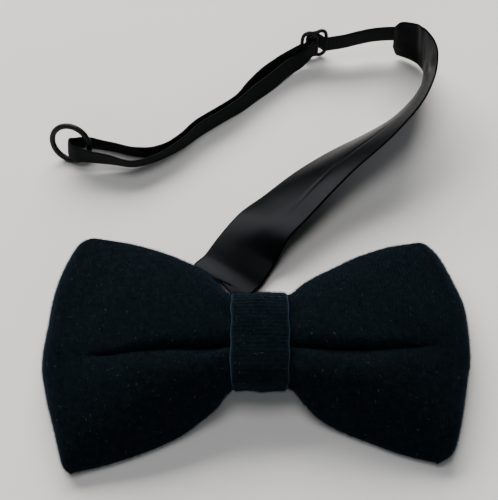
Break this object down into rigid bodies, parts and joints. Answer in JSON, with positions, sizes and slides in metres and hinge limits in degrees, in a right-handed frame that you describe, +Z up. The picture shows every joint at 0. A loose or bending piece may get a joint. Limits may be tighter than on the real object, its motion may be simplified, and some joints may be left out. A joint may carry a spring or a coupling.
{
  "type": "bow tie",
  "caption": "Ready-tied velvet bow with a wrapped knot, a satin neck band and an elastic strap with a slide and a ring.",
  "frame": {"origin": "middle of the underside of the whole object's box, on the surface it lies on", "axes": "+Z up from the surface, +X along the bow from its left wing to its right, +Y from the bow towards the neck strap"},
  "size_m": [0.1238, 0.1524, 0.0212],
  "materials": {
    "velvet_left": "dark navy velvet, pile along the wing's height",
    "velvet_right": "dark navy velvet, pile along the wing's height",
    "velvet_knot": "dark navy velvet, pile across the knot",
    "satin": "black satin",
    "elastic": "black ribbed elastic",
    "slide_wire": "black enamelled wire, semi-gloss",
    "ring_wire": "black enamelled wire, semi-gloss",
    "hook_metal": "black enamelled strip, semi-gloss"
  },
  "bodies": {
    "root": {"wing_left": "velvet_left", "wing_right": "velvet_right", "knot": "velvet_knot", "satin_band": "satin", "elastic_strap": "elastic", "slide": "slide_wire", "ring": "ring_wire", "hook": "hook_metal"}
  },
  "joints": []
}
